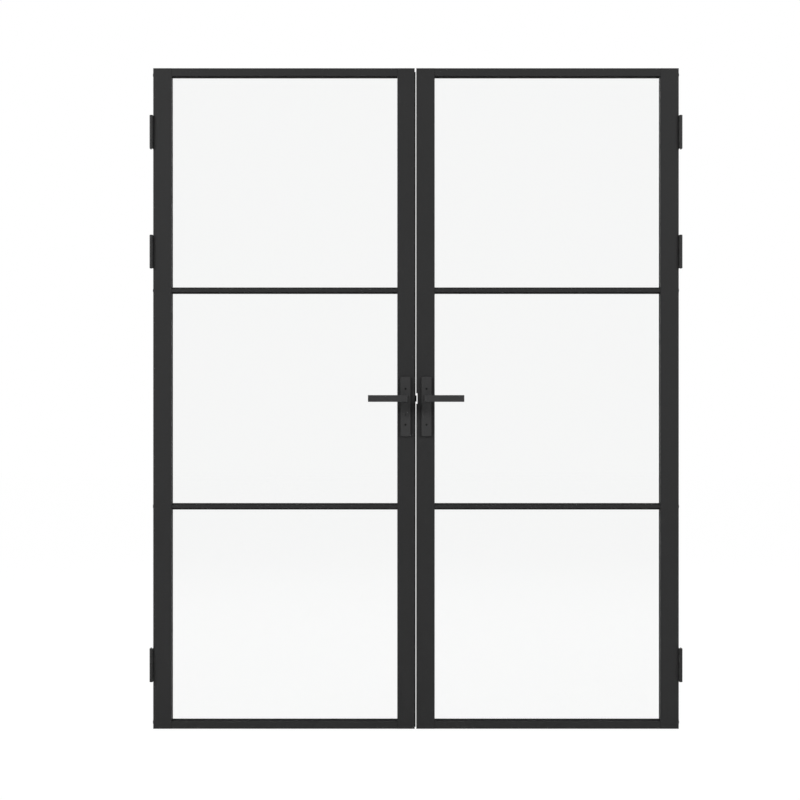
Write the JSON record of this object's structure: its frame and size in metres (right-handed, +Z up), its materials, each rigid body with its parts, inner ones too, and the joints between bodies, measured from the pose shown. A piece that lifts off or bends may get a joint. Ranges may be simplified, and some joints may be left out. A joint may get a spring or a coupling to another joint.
{
  "type": "pair of glazed double doors",
  "caption": "Slim dark metal double doors with stacked clear panes, swinging on butt hinges, with lever handles, a sprung latch and a keyed deadbolt.",
  "frame": {"origin": "midway between the two leaves, on the middle plane of their thickness, level with the underside of the leaves", "axes": "+X to the right seen from the front, +Y to the back, +Z up; the leaves open towards -Y"},
  "size_m": [1.6376, 0.16, 2.032],
  "materials": {
    "frame_metal": "dark grey powder coat, fine matt",
    "lever_metal": "dark grey satin coat",
    "hinge_metal": "dark grey coated steel",
    "screw_metal": "dark coated steel",
    "lock_metal": "plain steel",
    "plug_metal": "dark coated brass",
    "pane_glass": "clear",
    "seal_rubber": "black, matt",
    "block_plastic": "black"
  },
  "bodies": {
    "jamb_hinges": {"left_upper_jamb_plate": "hinge_metal", "left_middle_jamb_plate": "hinge_metal", "left_lower_jamb_plate": "hinge_metal", "right_upper_jamb_plate": "hinge_metal", "right_middle_jamb_plate": "hinge_metal", "right_lower_jamb_plate": "hinge_metal", "hinge_pins": "hinge_metal"},
    "left_leaf": {"left_hinge_stile": "frame_metal", "left_meeting_stile": "frame_metal", "left_top_rail": "frame_metal", "left_bottom_rail": "frame_metal", "left_upper_bar": "frame_metal", "left_lower_bar": "frame_metal", "left_top_pane": "pane_glass", "left_middle_pane": "pane_glass", "left_bottom_pane": "pane_glass", "left_gaskets": "seal_rubber", "left_setting_blocks": "block_plastic", "left_joint_screws": "screw_metal", "left_hinge_leaves": "hinge_metal", "left_hinge_screws": "screw_metal", "left_front_plate": "lever_metal", "left_back_plate": "lever_metal", "left_plate_screws": "screw_metal", "left_meeting_seal": "seal_rubber", "left_lock_case": "lock_metal", "left_faceplate": "lock_metal", "left_faceplate_screws": "screw_metal", "left_lock_cylinder": "plug_metal"},
    "right_leaf": {"right_hinge_stile": "frame_metal", "right_meeting_stile": "frame_metal", "right_top_rail": "frame_metal", "right_bottom_rail": "frame_metal", "right_upper_bar": "frame_metal", "right_lower_bar": "frame_metal", "right_top_pane": "pane_glass", "right_middle_pane": "pane_glass", "right_bottom_pane": "pane_glass", "right_gaskets": "seal_rubber", "right_setting_blocks": "block_plastic", "right_joint_screws": "screw_metal", "right_hinge_leaves": "hinge_metal", "right_hinge_screws": "screw_metal", "right_front_plate": "lever_metal", "right_back_plate": "lever_metal", "right_plate_screws": "screw_metal", "right_strike_plate": "lock_metal", "right_spring_cassette": "lock_metal", "right_blank_cylinder": "plug_metal"},
    "left_lever_set": {"left_front_lever": "lever_metal", "left_back_lever": "lever_metal", "left_spindle": "lock_metal", "left_follower": "lock_metal"},
    "right_lever_set": {"right_front_lever": "lever_metal", "right_back_lever": "lever_metal", "right_spindle": "lock_metal", "right_follower": "lock_metal"},
    "latch": {"left_latch_bolt": "lock_metal"},
    "deadbolt": {"left_deadbolt": "lock_metal"},
    "key_plug": {"left_key_plug": "plug_metal"}
  },
  "joints": [
    {"name": "left_leaf_swing", "type": "hinge", "parent": "jamb_hinges", "child": "left_leaf", "pos_m": [-0.8136, -0.02525, 1.016], "axis": [0, 0, -1], "range_deg": [0, 170]},
    {"name": "right_leaf_swing", "type": "hinge", "parent": "jamb_hinges", "child": "right_leaf", "pos_m": [0.8136, -0.02525, 1.016], "axis": [0, 0, 1], "range_deg": [0, 170]},
    {"name": "left_lever_turn", "type": "hinge", "parent": "left_leaf", "child": "left_lever_set", "pos_m": [-0.0323, 0, 1.016], "axis": [0, -1, 0], "range_deg": [0, 35], "stiffness_Nm_per_rad": 1.2, "springref_deg": -34.38},
    {"name": "right_lever_turn", "type": "hinge", "parent": "right_leaf", "child": "right_lever_set", "pos_m": [0.0323, 0, 1.016], "axis": [0, 1, 0], "range_deg": [0, 35], "stiffness_Nm_per_rad": 1.2, "springref_deg": -34.38},
    {"name": "latch_slide", "type": "slide", "parent": "left_leaf", "child": "latch", "axis": [-1, 0, 0], "range_m": [0, 0.0062]},
    {"name": "key_plug_turn", "type": "hinge", "parent": "left_leaf", "child": "key_plug", "pos_m": [-0.0323, 0, 0.966], "axis": [0, 1, 0], "range_deg": [0, 180]},
    {"name": "deadbolt_slide", "type": "slide", "parent": "left_leaf", "child": "deadbolt", "axis": [1, 0, 0], "range_m": [0, 0.01]}
  ],
  "couplings": [
    {"joint": "latch_slide", "follows": "left_lever_turn", "m_per_rad": 0.01015},
    {"joint": "key_plug_turn", "follows": "deadbolt_slide", "rad_per_m": 314.16}
  ]
}
